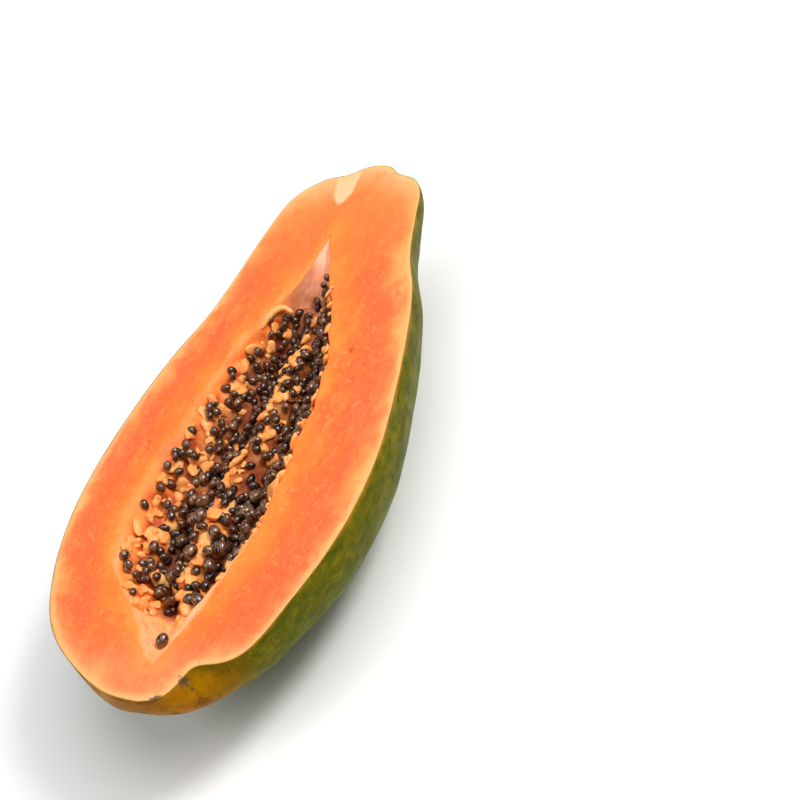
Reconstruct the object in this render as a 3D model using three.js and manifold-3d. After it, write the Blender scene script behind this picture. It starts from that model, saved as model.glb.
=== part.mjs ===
// Half of a papaya, cut lengthwise and laid on its back, with the seeds and pulp in its hollow.
// Millimetres. The cut face is level on top, +Y runs to the stem end, and the origin lies on the
// surface that the half rests on, under the middle of its outline.

import * as THREE from 'three';
import { mergeVertices } from 'three/addons/utils/BufferGeometryUtils.js';
import Module from 'manifold-3d';

const wasm = await Module();
wasm.setup();

// Outline of the half seen from above, [x, y] from the blossom tip to the middle of the stem end.
const RIM_RIGHT = [
  [4, -134.5], [15, -133], [27, -127.5], [38, -118.5], [47, -107], [54.5, -89], [62, -68],
  [66.5, -45], [67.3, -20], [64, 8], [59, 35], [52.5, 60], [44, 80], [39, 100], [36, 114],
  [31, 121.5], [23, 125], [16, 126.5], [9, 127.2],
];
const RIM_LEFT = [
  [4, -134.5], [-6, -133], [-17, -129.5], [-31, -121.5], [-46, -110], [-57, -96], [-64.5, -77],
  [-68.5, -57], [-69.2, -36], [-66.5, -13], [-61.5, 10], [-54.5, 33], [-46, 53], [-40.5, 74],
  [-36, 95], [-29.5, 115.5], [-17, 125.5], [-4, 127.5], [9, 127.2],
];

// At the cut edge only: the cut stem stub stands out and an old scar dents the blossom end.
const STUB = 4.4;
const STUB_SPAN_RIGHT = 0.075;
const STUB_SPAN_LEFT = 0.045;
const STUB_STEEPNESS = 3.4;
const SCAR = 9;
const SCAR_AT = 0.12;
const SCAR_SPAN = 0.045;
const EDGE_DEPTH = 7;

// Edge of the seed hollow in the cut face, [x, y] from its blossom tip to its stem tip.
const HOLLOW_RIGHT = [
  [3, -116], [6, -109], [11, -94], [17, -78], [23, -63], [26, -43], [26.3, -15], [26.5, 11],
  [21.5, 36], [14, 57], [6, 75], [-1, 94],
];
const HOLLOW_LEFT = [
  [3, -116], [-4, -111], [-13, -97], [-25, -85], [-37, -69], [-40.5, -47], [-35, -16], [-30.5, 4],
  [-25.5, 27], [-17, 50], [-7, 68], [-1, 94],
];

// The back: its depth below the cut face along the spine, [y, depth], and the flat it rests on.
const BACK_DEPTH = [[-97, 31], [-60, 48.5], [-20, 56.5], [20, 51], [60, 34], [95, 22]];
const SPINE_REACH = 0.72;
const SPINE_DRIFT = 0.6;
const REST_DEPTH = 55.3;
const RIDGES_AROUND = 5;
const RIDGE_RELIEF = 0.012;

// The skin swells out past the rim, most in a lobe beside the blossom tip.
const SWELL = 1.2;
const LOBE = 3.5;
const LOBE_AT = 0.12;
const LOBE_SPAN = 0.06;

// The hollow: its depth, less near its blossom tip, how upright its walls are, and the pulp ridge
// along its middle.
const HOLLOW_DEPTH = 18;
const HOLLOW_NARROW = 14;
const TIP_RISE = 0.6;
const TIP_AT = -116;
const TIP_SPAN = 22;
const WALL_POWER = 2.8;
const PULP_RIDGE = 7;
const PULP_RIDGE_AT = -0.12;
const PULP_RIDGE_SPAN = 0.24;
const PULP_RIDGE_WIDTH = 55;

// Rows of seeds across the hollow. Each bunch stands out of a thin core along one gully, on either
// side of the pulp ridge: the core's first and last facet step from the hollow's right edge.
const ROW_FIRST = -90;
const ROW_LAST = 60;
const ROW_STEP = 6.3;
const SEED_STEP = 5.9;
const SEED_SHIFT = 0.9;
const SEED_SMALL = 2.3;
const SEED_LARGE = 2.9;
const SEED_LARGE_AT = -55;
const SEED_LARGE_SPAN = 34;
const SEED_SPREAD = 0.1;
const SEED_GIRTH = 0.8;
const STRAY_SEED = { along: 0.13, across: -0.15, turn: [0.4, 1.2, 0.3] };
const BUNCHES = { right: [2, 7], left: [9, 12] };
const CORE_MARGIN = 7;
const CORE_EDGE = 0.03;
const CORE_THICKNESS = 1.5;
const CLEARANCE = 0.35;
const WALL_CLEARANCE = 0.7;

// Lines of pulp knobs along the hollow: on the left wall, the ridge and the right wall.
const KNOB_LINES = [-0.84, -0.143, 0.85];
const KNOB_STEP = 6.4;
const KNOB_SHIFT = 0.015;
const KNOB = 2.7;
const KNOB_SPREAD = 0.2;
const KNOB_WIDTH = 55;
const KNOB_RISE = 0.5;
const KNOB_CHANCE = 0.8;

// Facets.
const STATIONS = 40;
const BACK_STEPS = 16;
const HOLLOW_STEPS = 14;
const NUDGE = 0.004;
const HALVINGS = 30;

const COLOURS = { flesh: 0xf47a36, seed: 0x2b2019 };

// A repeatable random draw between 0 and 1.
let drawState = 20260417;
function draw() {
  drawState = (Math.imul(drawState, 1664525) + 1013904223) >>> 0;
  return drawState / 4294967296;
}

function curve(points) {
  return new THREE.SplineCurve(points.map(([x, y]) => new THREE.Vector2(x, y)));
}

const rimRight = curve(RIM_RIGHT);
const rimLeft = curve(RIM_LEFT);
const hollowRight = curve(HOLLOW_RIGHT);
const hollowLeft = curve(HOLLOW_LEFT);
const backDepth = curve(BACK_DEPTH);

// Depth of the back at a place on the spine.
function depthAt(y) {
  const last = BACK_DEPTH.length - 1;
  let step = 0;
  while (step < last - 1 && y > BACK_DEPTH[step + 1][0]) {
    step += 1;
  }
  const [from, to] = [BACK_DEPTH[step][0], BACK_DEPTH[step + 1][0]];
  const share = THREE.MathUtils.clamp((y - from) / (to - from), 0, 1);
  return backDepth.getPoint((step + share) / last).y;
}

// A rounded change along the rim that is nothing at the blossom tip itself.
function bump(along, at, span) {
  const here = Math.exp(-(((along - at) / span) ** 2));
  return here - (1 - along) * Math.exp(-((at / span) ** 2));
}

// How far the cut edge stands out of the plain outline.
function edgeRelief(along, onRight) {
  const span = onRight ? STUB_SPAN_RIGHT : STUB_SPAN_LEFT;
  const stub = STUB * Math.exp(-(((1 - along) / span) ** STUB_STEEPNESS));
  return onRight ? stub - SCAR * bump(along, SCAR_AT, SCAR_SPAN) : stub;
}

// A point of the skin: along runs from blossom tip to stem, angle from right rim to left rim.
function skinPoint(along, angle) {
  const right = rimRight.getPoint(along);
  const left = rimLeft.getPoint(along);
  const middle = right.clone().add(left).multiplyScalar(0.5);
  const spine = new THREE.Vector2(SPINE_DRIFT * middle.x, SPINE_REACH * middle.y);
  const onRight = Math.cos(angle) >= 0;
  const out = (onRight ? right : left).sub(spine);
  const ridge = 1 + RIDGE_RELIEF * Math.cos(RIDGES_AROUND * (angle - Math.PI / 2)) * Math.sin(angle) ** 2;
  const depth = depthAt(spine.y) * Math.sin(angle) * ridge;
  const swell = SWELL * (1 - along) + (onRight ? 0 : LOBE * bump(along, LOBE_AT, LOBE_SPAN));
  const relief = swell * Math.abs(Math.sin(2 * angle))
    + edgeRelief(along, onRight) * Math.exp(-((depth / EDGE_DEPTH) ** 2));
  const reach = Math.abs(Math.cos(angle)) * ridge + relief / out.length();
  return new THREE.Vector3(
    spine.x + out.x * reach,
    spine.y + out.y * reach,
    Math.max(-depth, -REST_DEPTH),
  );
}

// A point of the hollow's wall: across runs from -1 at its left edge to 1 at its right edge.
function hollowPoint(along, across) {
  const right = hollowRight.getPoint(along);
  const left = hollowLeft.getPoint(along);
  const share = (across + 1) / 2;
  const place = left.clone().lerp(right, share);
  const width = right.distanceTo(left);
  const shallow = 1 - TIP_RISE * Math.exp(-(((place.y - TIP_AT) / TIP_SPAN) ** 2));
  const depth = HOLLOW_DEPTH * shallow * (1 - Math.exp(-width / HOLLOW_NARROW));
  const wall = 1 - Math.abs(across) ** WALL_POWER;
  const ridge = Math.exp(-(((across - PULP_RIDGE_AT) / PULP_RIDGE_SPAN) ** 2));
  const rise = PULP_RIDGE * ridge * wall * Math.min(1, width / PULP_RIDGE_WIDTH) ** 2;
  return new THREE.Vector3(place.x, place.y, rise - depth * wall);
}

// The place across the hollow of a step from its right edge to its left edge.
function acrossAt(step) {
  return 1 - (2 * step) / HOLLOW_STEPS;
}

function hollowNormal(along, across) {
  const lengthwise = hollowPoint(along + NUDGE, across).sub(hollowPoint(along - NUDGE, across));
  const crosswise = hollowPoint(along, across + NUDGE).sub(hollowPoint(along, across - NUDGE));
  return crosswise.cross(lengthwise).normalize();
}

// Triangles of a grid of points, rows by columns, with the same winding all over.
function gridTriangles(rows, columns, pointAt) {
  const corners = [];
  for (let row = 0; row < rows; row += 1) {
    for (let column = 0; column < columns; column += 1) {
      const a = pointAt(row, column);
      const b = pointAt(row + 1, column);
      const c = pointAt(row + 1, column + 1);
      const d = pointAt(row, column + 1);
      corners.push(a, b, c, a, c, d);
    }
  }
  return corners;
}

// A solid from loose triangles: shared corners are merged and empty triangles left out.
function solidFromCorners(corners) {
  const loose = new THREE.BufferGeometry().setFromPoints(corners);
  return solidFromGeometry(loose);
}

function solidFromGeometry(geometry) {
  geometry.deleteAttribute('normal');
  geometry.deleteAttribute('uv');
  const merged = mergeVertices(geometry);
  const triangles = [];
  for (let i = 0; i < merged.index.count; i += 3) {
    const [a, b, c] = [merged.index.getX(i), merged.index.getX(i + 1), merged.index.getX(i + 2)];
    if (a !== b && b !== c && c !== a) {
      triangles.push(a, b, c);
    }
  }
  const mesh = new wasm.Mesh({
    numProp: 3,
    vertProperties: new Float32Array(merged.attributes.position.array),
    triVerts: new Uint32Array(triangles),
  });
  return new wasm.Manifold(mesh);
}

function geometryFromSolid(solid) {
  const mesh = solid.getMesh();
  const geometry = new THREE.BufferGeometry();
  geometry.setAttribute('position', new THREE.BufferAttribute(new Float32Array(mesh.vertProperties), 3));
  geometry.setIndex(new THREE.BufferAttribute(new Uint32Array(mesh.triVerts), 1));
  geometry.computeVertexNormals();
  return geometry;
}

function joined(solids) {
  return solids.reduce((whole, solid) => whole.add(solid));
}

// The flesh and skin: back, level cut face and hollow, as one closed surface.
function fruitSolid() {
  const back = gridTriangles(STATIONS, BACK_STEPS, (station, step) =>
    skinPoint(station / STATIONS, (Math.PI * step) / BACK_STEPS)).reverse();
  const faceFrom = (angle, hollowEdge) => gridTriangles(STATIONS, 1, (station, side) =>
    side === 0
      ? skinPoint(station / STATIONS, angle)
      : new THREE.Vector3(...hollowEdge.getPoint(station / STATIONS), 0));
  const faceRight = faceFrom(0, hollowRight);
  const faceLeft = faceFrom(Math.PI, hollowLeft).reverse();
  const hollow = gridTriangles(STATIONS, HOLLOW_STEPS, (station, step) =>
    hollowPoint(station / STATIONS, acrossAt(step)));
  return solidFromCorners([...back, ...faceRight, ...faceLeft, ...hollow]);
}

// How far along the hollow a place on its length lies.
function hollowAlong(y) {
  let [low, high] = [0, 1];
  for (let halving = 0; halving < HALVINGS; halving += 1) {
    const middle = (low + high) / 2;
    const here = (hollowLeft.getPoint(middle).y + hollowRight.getPoint(middle).y) / 2;
    if (here < y) {
      low = middle;
    } else {
      high = middle;
    }
  }
  return (low + high) / 2;
}

// Seeds are largest past the middle of the hollow, towards the blossom end.
function seedSize(y) {
  const large = Math.exp(-(((y - SEED_LARGE_AT) / SEED_LARGE_SPAN) ** 2));
  return THREE.MathUtils.lerp(SEED_SMALL, SEED_LARGE, large) * sizeSpread(SEED_SPREAD);
}

function sizeSpread(spread) {
  return 1 + spread * (2 * draw() - 1);
}

function hollowWidth(along) {
  return hollowRight.getPoint(along).distanceTo(hollowLeft.getPoint(along));
}

function randomTurn() {
  return new THREE.Euler(Math.PI * draw(), Math.PI * draw(), Math.PI * draw());
}

// Knobs of pulp, sunk into the wall.
function growKnobs() {
  const knobs = [];
  for (let y = ROW_FIRST; y <= ROW_LAST; y += KNOB_STEP) {
    for (const line of KNOB_LINES) {
      const along = hollowAlong(y + SEED_SHIFT * (2 * draw() - 1));
      const across = line + KNOB_SHIFT * (2 * draw() - 1);
      const size = KNOB * sizeSpread(KNOB_SPREAD) * Math.min(1, hollowWidth(along) / KNOB_WIDTH);
      const knob = { size, turn: randomTurn(), centre: wallPoint(along, across, KNOB_RISE * size) };
      if (draw() < KNOB_CHANCE) {
        knobs.push(knob);
      }
    }
  }
  return knobs;
}

// Seeds of one bunch, row by row across its core and sunk into it, clear of the knobs.
function growSeeds([firstStep, lastStep], knobs) {
  const seeds = [];
  const right = acrossAt(firstStep) - CORE_EDGE;
  const left = acrossAt(lastStep) + CORE_EDGE;
  for (let y = ROW_FIRST; y <= ROW_LAST; y += ROW_STEP) {
    const width = (hollowWidth(hollowAlong(y)) * (right - left)) / 2;
    const count = Math.max(2, Math.round(width / SEED_STEP) + 1);
    for (let place = 0; place < count; place += 1) {
      const along = hollowAlong(y + 2 * SEED_SHIFT * (2 * draw() - 1));
      const inRow = (place + SEED_SHIFT * (draw() - 0.5)) / (count - 1);
      const across = THREE.MathUtils.lerp(left, right, THREE.MathUtils.clamp(inRow, 0, 1));
      const size = seedSize(y);
      const seed = { size, turn: randomTurn(), centre: wallPoint(along, across, WALL_CLEARANCE + size) };
      if (knobs.every((knob) => apart(seed, knob))) {
        seeds.push(seed);
      }
    }
  }
  return seeds;
}

function wallPoint(along, across, lift) {
  return hollowPoint(along, across).addScaledVector(hollowNormal(along, across), lift);
}

function apart(site, other) {
  return site.centre.distanceTo(other.centre) > site.size + other.size + CLEARANCE;
}

function lumpSolid(site, girth) {
  const lump = new THREE.IcosahedronGeometry(1, 0);
  const size = new THREE.Vector3(site.size * girth, site.size * girth, site.size);
  const turn = new THREE.Quaternion().setFromEuler(site.turn);
  lump.applyMatrix4(new THREE.Matrix4().compose(site.centre, turn, size));
  return solidFromGeometry(lump);
}

// The thin core that a bunch stands out of, facet over facet along the wall of the hollow.
function coreSolid([firstStep, lastStep]) {
  const firstRow = Math.round(hollowAlong(ROW_FIRST - CORE_MARGIN) * STATIONS);
  const lastRow = Math.round(hollowAlong(ROW_LAST + CORE_MARGIN) * STATIONS);
  const rows = lastRow - firstRow;
  const steps = lastStep - firstStep;
  const corePoint = (row, step, high) => wallPoint(
    (firstRow + row) / STATIONS,
    acrossAt(firstStep + step),
    WALL_CLEARANCE + (high ? CORE_THICKNESS : 0),
  );
  const top = gridTriangles(rows, steps, (row, step) => corePoint(row, step, true));
  const under = gridTriangles(rows, steps, (row, step) => corePoint(row, step, false)).reverse();
  const side = (step) => gridTriangles(rows, 1, (row, high) => corePoint(row, step, high));
  const end = (row) => gridTriangles(1, steps, (high, step) => corePoint(row, step, high));
  return solidFromCorners([
    ...top,
    ...under,
    ...side(0),
    ...side(steps).reverse(),
    ...end(0),
    ...end(rows).reverse(),
  ]);
}

function straySeedSolid() {
  const { along, across, turn } = STRAY_SEED;
  const centre = wallPoint(along, across, WALL_CLEARANCE + SEED_GIRTH * SEED_LARGE);
  return lumpSolid({ size: SEED_LARGE, turn: new THREE.Euler(...turn), centre }, SEED_GIRTH);
}

function addPiece(group, name, solid, colour, roughness) {
  const material = new THREE.MeshStandardMaterial({ color: colour, roughness, metalness: 0 });
  const mesh = new THREE.Mesh(geometryFromSolid(solid), material);
  mesh.name = name;
  group.add(mesh);
}

const group = new THREE.Group();
const knobs = growKnobs();
const knobSolids = knobs.map((knob) => lumpSolid(knob, 1));
addPiece(group, 'fruit_half', joined([fruitSolid(), ...knobSolids]), COLOURS.flesh, 0.35);
for (const [bunch, coreSteps] of Object.entries(BUNCHES)) {
  const seedSolids = growSeeds(coreSteps, knobs).map((seed) => lumpSolid(seed, SEED_GIRTH));
  addPiece(group, `seeds_${bunch}`, joined([coreSolid(coreSteps), ...seedSolids]), COLOURS.seed, 0.3);
}
addPiece(group, 'seed_stray', straySeedSolid(), COLOURS.seed, 0.3);

const box = new THREE.Box3().setFromObject(group);
const middle = box.getCenter(new THREE.Vector3());
group.position.set(-middle.x, -middle.y, -box.min.z);

export default group;
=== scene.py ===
"""Half of a ripe papaya, cut lengthwise and lying on its back.

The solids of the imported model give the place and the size. Each is replaced by a finer piece with the same
form. Shapes are worked out in millimetres in the cut frame, as the solids are: x to the right across the cut
face, y from the blossom end to the stem end, and z = 0 on the cut face.
"""

import math

import bmesh
import bpy
import numpy as np
from mathutils import Matrix, Quaternion, Vector, noise


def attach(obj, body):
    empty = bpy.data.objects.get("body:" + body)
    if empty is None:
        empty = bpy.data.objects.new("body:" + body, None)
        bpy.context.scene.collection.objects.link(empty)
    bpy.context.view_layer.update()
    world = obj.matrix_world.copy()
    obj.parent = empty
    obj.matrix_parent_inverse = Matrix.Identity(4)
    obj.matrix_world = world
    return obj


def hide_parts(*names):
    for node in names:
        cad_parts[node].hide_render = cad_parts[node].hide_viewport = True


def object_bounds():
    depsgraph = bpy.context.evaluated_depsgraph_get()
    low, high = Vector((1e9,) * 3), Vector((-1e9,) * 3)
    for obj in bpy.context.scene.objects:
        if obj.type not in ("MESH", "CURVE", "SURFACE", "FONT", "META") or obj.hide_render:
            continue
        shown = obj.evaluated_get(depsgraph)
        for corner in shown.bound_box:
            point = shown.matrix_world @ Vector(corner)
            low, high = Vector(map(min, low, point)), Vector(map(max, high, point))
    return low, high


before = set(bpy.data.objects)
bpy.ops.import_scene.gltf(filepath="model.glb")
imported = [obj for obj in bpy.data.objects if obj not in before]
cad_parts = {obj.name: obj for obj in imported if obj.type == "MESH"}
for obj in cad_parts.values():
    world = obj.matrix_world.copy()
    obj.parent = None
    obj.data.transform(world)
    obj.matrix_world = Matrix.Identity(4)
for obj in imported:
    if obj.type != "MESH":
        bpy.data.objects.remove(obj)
cad_low, cad_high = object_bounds()

MM = 0.001
SEED = 20260417

# Outline of the cut face, from the blossom end to the stem end.
RIM_RIGHT = [
    (4, -134.5), (15, -133), (27, -127.5), (38, -118.5), (47, -107), (54.5, -89), (62, -68), (66.5, -45),
    (67.3, -20), (64, 8), (59, 35), (52.5, 60), (44, 80), (39, 100), (36, 114), (31, 121.5), (23, 125),
    (16, 126.5), (9, 127.2),
]
RIM_LEFT = [
    (4, -134.5), (-6, -133), (-17, -129.5), (-31, -121.5), (-46, -110), (-57, -96), (-64.5, -77),
    (-68.5, -57), (-69.2, -36), (-66.5, -13), (-61.5, 10), (-54.5, 33), (-46, 53), (-40.5, 74), (-36, 95),
    (-29.5, 115.5), (-17, 125.5), (-4, 127.5), (9, 127.2),
]
# Edge of the seed hollow on the cut face, also from the blossom end to the stem end.
HOLLOW_RIGHT = [
    (3, -116), (6, -109), (11, -94), (17, -78), (23, -63), (26, -43), (26.3, -15), (26.5, 11), (21.5, 36),
    (14, 57), (6, 75), (-1, 94),
]
HOLLOW_LEFT = [
    (3, -116), (-4, -111), (-13, -97), (-25, -85), (-37, -69), (-40.5, -47), (-35, -16), (-30.5, 4),
    (-25.5, 27), (-17, 50), (-7, 68), (-1, 94),
]

# Skin: how deep the back is along the fruit, and the relief on it.
BACK_DEPTH = [(-97, 31), (-60, 48.5), (-20, 56.5), (20, 51), (60, 34), (95, 22)]
SPINE_REACH = 0.72
SPINE_DRIFT = 0.6
REST_DEPTH = 55.3
RIDGES_AROUND = 5
RIDGE_RELIEF = 0.012
SWELL = 1.2
LOBE, LOBE_AT, LOBE_SPAN = 3.5, 0.12, 0.06
STUB, STUB_SPAN_RIGHT, STUB_SPAN_LEFT = 4.4, 0.075, 0.045
NOTCH, NOTCH_AT, NOTCH_SPAN = 9, 0.12, 0.045
EDGE_DEPTH = 7
STUB_STEEPNESS = 3.4
GROOVE, GROOVE_FROM, GROOVE_TO = 1.5, -20, 90

# Seed hollow: its depth, the steepness of its walls, and the ridge of pulp along its middle.
HOLLOW_DEPTH = 18
HOLLOW_NARROW = 14
WALL_POWER = 2.8
PULP_RIDGE, PULP_RIDGE_AT, PULP_RIDGE_SPAN, PULP_RIDGE_WIDTH = 7, -0.12, 0.24, 55
TIP_RISE, TIP_AT, TIP_SPAN = 0.6, -116, 22
HOLLOW_LIP, LEFT_LIP, RIGHT_LIP = 0.4, 1.5, 0.2
LEFT_LIP_ENDS = (76, 46)
GULLY_CUT = 6
LEFT_GULLY, LEFT_GULLY_SPAN = -0.46, 0.22
RIGHT_GULLY, RIGHT_GULLY_SPAN = 0.4, 0.26
LIP_WIDTH, LIP_SPREAD = 3.0, 1.7
# Waves of the edge of the hollow: height, length and shift.
EDGE_WAVES = [(0.6, 27.0, 1.3), (0.35, 11.3, 0.4)]
EDGE_WAVES_RISE = 6
RIGHT_PHASE, LEFT_PHASE = 1.0, 2.3

# Fineness of the mesh of the half.
STATIONS = 500
SKIN_STEPS = 170
HOLLOW_STEPS = 110
RINGS_AT_RIM = [0, 0.25, 0.5, 0.8, 1.2, 1.7, 2.4, 3.3]
RINGS_AT_HOLLOW = [5.4, 4.2, 3.2, 2.3, 1.5, 0.8, 0.35, 0]
RINGS_BETWEEN = 54
RIM_CROWDING = 0.08
WELD = 0.0005

# Values that the points of the half carry into its materials; gully carries the painted shade of the hollow.
POINT_VALUES = ("rim", "hollow", "ripe", "pale", "cream", "angle", "gully", "membrane", "lip")

# Marks on the cut face: nicks and pits left by the knife, as x, y, width and depth.
NICKS = [
    (33.4, 30, 2.6, 3), (40, 15.6, 2.2, 2), (50, 4.3, 2.4, 2), (44.3, 59.5, 2.4, 2), (54, -1.5, 1.5, 1.6),
    (39.6, 4.7, 1.7, 1.4), (-47.8, -12.5, 2.4, 2.4), (-48.7, -20.6, 1.7, 1.8), (-32.7, 46.7, 1.8, 1.4),
    (-42.6, 57.5, 1.5, 1.2), (30.5, 23.5, 1.7, 1.2), (36.5, 24, 1.5, 1.6), (34.2, 18.6, 1.6, 1.8),
    (42.5, 22.5, 1.4, 1.2), (38, -2, 1.6, 1.4), (33.5, -46, 2, 1.2),
]
# Flakes that the knife left standing: x, y, heading in degrees, length, width and height.
FLAKES = [
    (35.1, -38.7, 40, 2.6, 2, 1.6), (47.5, 2.5, 60, 5.5, 1.5, 1.1), (36.5, 31.5, 20, 2.6, 1.4, 1.4),
    (38, -6, 75, 8, 1.6, 0.9), (56, -12, 65, 7, 1.4, 0.8), (44, -24, 50, 6, 1.6, 0.8),
    (36, 12, 10, 2.2, 1.2, 1), (-44, -16, 35, 3, 1.2, 1), (-30, 47.5, 15, 2.6, 1, 0.8),
]
NICK_LONGER, NICK_STEEPNESS = 1.5, 3.5
FLAKE_CREST, FLAKE_FADE = 0.75, 2
# Brown scars on the skin near the blossom end: x, y, z and width.
SCARS = [
    (20.6, -124.4, -0.8, 2.5), (11.5, -132.6, -0.6, 1.7), (13.1, -132.0, -0.4, 1.0),
    (22.3, -125.2, -5.0, 0.7), (24.2, -126.5, -9.0, 0.9), (27.5, -121.0, -7.0, 0.7),
    (53.1, -92.6, -4.5, 0.8), (45.0, -106.0, -9.0, 0.6),
]
SCAR_RAGGED, SCAR_RAGGED_SIZE, SCAR_INSIDE, SCAR_OUTSIDE = 0.7, 1.4, 0.55, 1.1
SCAR_SUNK = 0.35
# Cream wedge at the stem end: its point, its heading, half its width and how bluntly it starts.
CREAM_POINT, CREAM_HEADING = (-3.0, 110.3), 92
CREAM_HALF_WIDTH, CREAM_BLUNT = 5.8, 5
CREAM_RAGGED, CREAM_RAGGED_SIZE = 0.9, 5
CREAM_INNER_BLUR, CREAM_OUTER_BLUR, CREAM_START_BLUR = -1.2, 1.0, 2.4
# Pale parts of the cut face: where they begin and where they are full, in y, and how far in from the rim.
STEM_PALE, STEM_PALE_REACH, STEM_PALE_SHARE = (90, 124), (2, 16), 0.6
BLOSSOM_PALE, BLOSSOM_PALE_SHARE = (-100, -124), 0.3
# Pale lip of the hollow near the blossom end: its width on each side, wider on the right at one place.
PALE_LIP = (-44, -74)
LEFT_PALE_WIDTH, LEFT_PALE_SHARE = 1.4, 0.3
RIGHT_PALE_WIDTH, RIGHT_PALE_MORE, RIGHT_PALE_AT, RIGHT_PALE_SPAN, RIGHT_PALE_SHARE = 1.6, 3.6, -94, 10, 0.8
# Inside the hollow: its pale edge and tip, the painted shade on its floor, and the film in its stem tip.
INNER_LIP, INNER_LIP_REACH, INNER_LIP_SHARE = (-50, -78), (0.5, 2), 0.5
INNER_TIP, INNER_TIP_SHARE = (-80, -98), 0.8
PAINTED_FLOOR_SHADE, PAINTED_FLOOR_SHADE_SIDES, PAINTED_FLOOR_SHADE_FROM = 0.62, (0.76, 0.95), (-65, -10)
PAINTED_SHADE_FADE_FIRST, PAINTED_SHADE_FADE_LAST = 24, 14
FILM, FILM_EDGE = (52, 72), (-0.2, 1.2)

# The two materials of the half, by number, and a distance that counts as far from an edge.
SKIN, FLESH = 0, 1
FAR = 99

# Low relief, each as its height and the size of its lumps in millimetres.
SKIN_SWELLS, SKIN_LUMPS = (0.6, 26), (0.16, 7)
LINING_CRUMB, LINING_LUMPS = (1.3, 5.5), (0.5, 2.6)
FACE_SWELLS, FACE_GRAIN = (0.3, 24), (0.07, 3.5)
# The relief fades in from the edges over these distances. The two tips of the hollow are smoother.
SKIN_FADE, LINING_FADE, FACE_RIM_FADE, FACE_HOLLOW_FADE = (0.5, 7), (0.8, 7), (0, 3), (0, 2)
STEM_TIP_BARE, BLOSSOM_TIP_BARE, BARE_SHARE = (48, 66), (-82, -96), 0.85

# Softening of the back: how far from the rim it sets in, its steps of strength and its rounds.
SOFT_FROM_RIM, SOFT_LEVELS, SOFT_ROUNDS = (3, 12), 10, 24
# Where the colours of the two ends begin and where they are full, in y.
BLOSSOM_END, STEM_END = (-106, -131), (60, 118)
# How deep or high a knife mark is when it begins to look wet, and when it is fully wet.
NICK_WET = (0.15, 0.7)

# The colour sockets of a mix node, which share their names with its other sockets.
MIX_FIRST, MIX_SECOND, MIX_RESULT = 6, 7, 2

# Bed of seeds and knobs in the hollow. Sites lie in rows across it.
BED_FIRST, BED_LAST, BED_BEFORE = -92, 72, 4
SEED_ROWS, KNOB_ROWS, ROW_WANDER, CELL_MARGIN = 2.7, 3.1, 0.3, 0.05
BED_STRETCH, BED_REACH, ALONG_STEPS = 1.2, 0.98, 400
# Lines of knobs along the hollow: where across it, how wide, and the share of sites that hold one.
KNOB_LINES = ((-0.84, 0.2, 0.75), (-0.13, 0.19, 0.74), (0.88, 0.12, 0.6))
# Half the length of seeds and the size of knobs, in millimetres. Both get smaller towards the stem end.
SEED_SMALL, SEED_LARGE, SEED_LESS, SEED_LESS_ENDS = 2.25, 3.05, 0.14, (-40, 50)
LARGE_AT, LARGE_SPAN, LARGE_SHARE, LARGE_SIDES = -56, 30, 0.6, (-0.7, -0.2)
SIZE_SPREAD = (0.88, 1.14)
KNOB_SMALL, KNOB_LARGE, KNOB_POWER, KNOB_LESS, KNOB_LESS_ENDS = 1.1, 3.3, 1.2, 0.1, (-25, 30)
KNOB_LIFT, ROOM_OF_SEED, ROOM_OF_KNOB, ROOM_LEFT_BY_KNOB = 0.3, 0.78, 0.8, 0.9
# How long, wide and high a knob is for its size, from least to most.
KNOB_FORM = ((1.0, 1.5), (0.75, 1.15), (0.42, 0.66))
# Knobs on the right edge of the hollow: their stretch and steps, their size, and how they sit there.
EDGE_KNOBS_FIRST, EDGE_KNOBS_LAST, EDGE_KNOBS_STEP = -82, 60, (3.5, 12)
EDGE_KNOB_SMALL, EDGE_KNOB_MORE, EDGE_KNOB_POWER = 1.2, 2.0, 1.5
EDGE_KNOB_INSET, EDGE_KNOB_SUNK, EDGE_KNOB_BELOW = 0.7, 0.35, 0.3
EDGE_KNOB_WAY = np.array((-0.5, 0, 0.866))
# The lone seed near the blossom tip: its place, how far it lies off the wall, and where it points.
STRAY_ALONG, STRAY_ACROSS, STRAY_LIFT = 0.13, -0.15, 2.3
STRAY_LENGTHWISE = (0.25, 0.93, 0.27)
# A strap of pulp along the left edge of the hollow near the stem end: its bends and half its width.
STRAP = [
    (-17.2, 47.5, -2.6), (-15.6, 51.6, -1.7), (-13.4, 55.2, -1.6), (-10.6, 57.2, -2.2), (-7.6, 56.8, -4.4),
]
STRAP_HALF_WIDTH, STRAP_LUMPS, STRAP_THIN_ENDS = 1.5, 32, 0.65
# Forms, for a half-length of one: height and size of the lumps on them; width, depth and half-length.
VARIANTS = 12
SEED_WRINKLES, SEED_LUMPS, SEED_SHAPE, SEED_TAPER = (0.08, 0.42), (0.05, 0.95), (0.68, 0.72, 1.0), 0.12
COAT_LUMPS, COAT_RIPPLES, COAT_SHAPE = (0.04, 1.1), (0.03, 0.5), (0.78, 0.8, 1.0)
CRUMB_SIDES, CRUMB_SHARPNESS, CRUMB_NEAREST, CRUMB_ROUND = 10, 9, 0.62, 0.75
CRUMB_DENTS, CRUMB_PITS = (0.08, 0.5), (0.03, 0.22)
# Up to this many smaller crumbs on each knob: how far off, how far that is flattened, and their size.
MOST_CRUMBS, CRUMB_AWAY, CRUMB_FLATTENED, CRUMB_SIZE, CRUMB_UNEVEN = 2, 1.1, 0.8, (0.4, 0.7), (0.8, 1.2)
# How far each may lean, in radians.
SEED_LEAN, KNOB_LEAN, CRUMB_LEAN = 0.45, 0.4, 0.8
FUSE_STEP, FUSE_ROUNDS = 0.38, 3
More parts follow.
